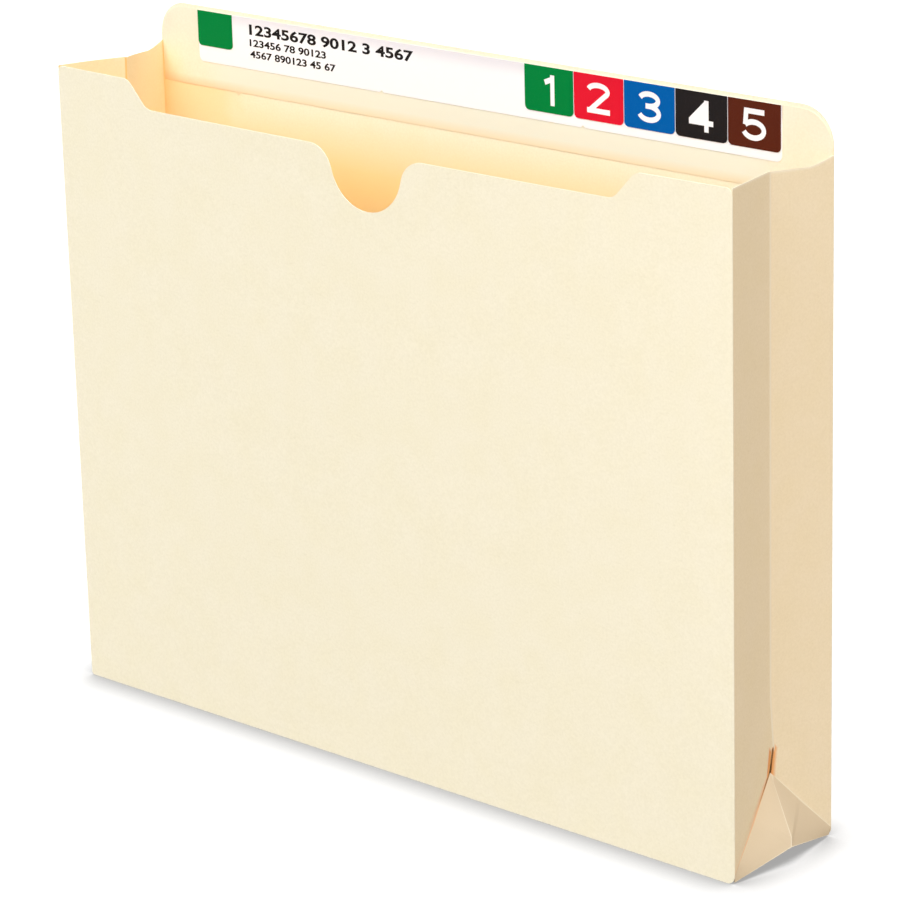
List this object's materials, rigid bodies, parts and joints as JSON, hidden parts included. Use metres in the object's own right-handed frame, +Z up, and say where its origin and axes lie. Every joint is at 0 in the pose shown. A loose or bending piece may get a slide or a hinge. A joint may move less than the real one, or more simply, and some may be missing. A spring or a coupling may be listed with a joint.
{
  "type": "file jacket",
  "caption": "Expanding manila file jacket with pleated side gussets and bottom, a thumb-notched front, and a label strip on a reinforced straight tab; it folds flat.",
  "frame": {"origin": "on the floor, under the middle of the jacket as it stands open", "axes": "+X to the right along the front, +Y to the back, +Z up; the front faces -Y"},
  "size_m": [0.3048, 0.0504, 0.2413],
  "materials": {
    "manila": "matte",
    "label_white": "satin",
    "patch_green": "satin",
    "patch_red": "satin",
    "patch_blue": "satin",
    "patch_black": "satin",
    "patch_brown": "satin"
  },
  "bodies": {
    "back": {"back_panel": "manila", "tab_ply": "manila", "label_strip": "label_white", "index_patch": "patch_green", "number_patch_1": "patch_green", "number_patch_2": "patch_red", "number_patch_3": "patch_blue", "number_patch_4": "patch_black", "number_patch_5": "patch_brown"},
    "right_gusset_back": {"right_gusset_back": "manila"},
    "right_gusset_front": {"right_gusset_front": "manila"},
    "front": {"front_panel": "manila", "left_seam_flap": "manila", "right_seam_flap": "manila"},
    "left_gusset_back": {"left_gusset_back": "manila"},
    "left_gusset_front": {"left_gusset_front": "manila"},
    "bottom_back": {"bottom_back": "manila"},
    "bottom_front": {"bottom_front": "manila"},
    "right_corner_back": {"right_corner_back": "manila"},
    "right_corner_front": {"right_corner_front": "manila"},
    "left_corner_back": {"left_corner_back": "manila"},
    "left_corner_front": {"left_corner_front": "manila"}
  },
  "joints": [
    {"name": "expand", "type": "hinge", "parent": "back", "child": "right_gusset_back", "pos_m": [0.14894, 0.02489, 0], "axis": [0, 0, 1], "range_deg": [-72, 11.5], "deforming": ["right_corner_back", "right_corner_front", "left_corner_back", "left_corner_front"]},
    {"name": "right_crease", "type": "hinge", "parent": "right_gusset_back", "child": "right_gusset_front", "pos_m": [0.14388, 0, 0], "axis": [0, 0, 1], "range_deg": [-23, 144]},
    {"name": "front_fold", "type": "hinge", "parent": "right_gusset_front", "child": "front", "pos_m": [0.14894, -0.02489, 0], "axis": [0, 0, 1], "range_deg": [-72, 11.5]},
    {"name": "left_fold", "type": "hinge", "parent": "back", "child": "left_gusset_back", "pos_m": [-0.14894, 0.02489, 0], "axis": [0, 0, 1], "range_deg": [-11.5, 72]},
    {"name": "left_crease", "type": "hinge", "parent": "left_gusset_back", "child": "left_gusset_front", "pos_m": [-0.14388, 0, 0], "axis": [0, 0, 1], "range_deg": [-144, 23]},
    {"name": "bottom_fold", "type": "hinge", "parent": "back", "child": "bottom_back", "pos_m": [0, 0.02489, 0.00028], "axis": [1, 0, 0], "range_deg": [-72, 11.5]},
    {"name": "bottom_crease", "type": "hinge", "parent": "bottom_back", "child": "bottom_front", "pos_m": [0, 0, 0.00534], "axis": [1, 0, 0], "range_deg": [-23, 144]},
    {"name": "right_corner_back_fold", "type": "hinge", "parent": "right_gusset_back", "child": "right_corner_back", "pos_m": [0.14922, 0.02483, 0.0035], "axis": [-0.1486, -0.6913, 0.7071], "range_deg": [-23, 144]},
    {"name": "right_corner_front_fold", "type": "hinge", "parent": "right_gusset_front", "child": "right_corner_front", "pos_m": [0.14922, -0.02483, 0.0035], "axis": [-0.1486, 0.6913, 0.7071], "range_deg": [-144, 23]},
    {"name": "left_corner_back_fold", "type": "hinge", "parent": "left_gusset_back", "child": "left_corner_back", "pos_m": [-0.14922, 0.02483, 0.0035], "axis": [0.1486, -0.6913, 0.7071], "range_deg": [-144, 23]},
    {"name": "left_corner_front_fold", "type": "hinge", "parent": "left_gusset_front", "child": "left_corner_front", "pos_m": [-0.14922, -0.02483, 0.0035], "axis": [0.1486, 0.6913, 0.7071], "range_deg": [-23, 144]}
  ],
  "couplings": [
    {"joint": "right_crease", "follows": "expand", "ratio": -2},
    {"joint": "front_fold", "follows": "expand", "ratio": 1},
    {"joint": "left_fold", "follows": "expand", "ratio": -1},
    {"joint": "left_crease", "follows": "expand", "ratio": 2},
    {"joint": "bottom_fold", "follows": "expand", "ratio": 1},
    {"joint": "bottom_crease", "follows": "expand", "ratio": -2},
    {"joint": "right_corner_back_fold", "follows": "expand", "ratio": -2},
    {"joint": "right_corner_front_fold", "follows": "expand", "ratio": 2},
    {"joint": "left_corner_back_fold", "follows": "expand", "ratio": 2},
    {"joint": "left_corner_front_fold", "follows": "expand", "ratio": -2}
  ]
}
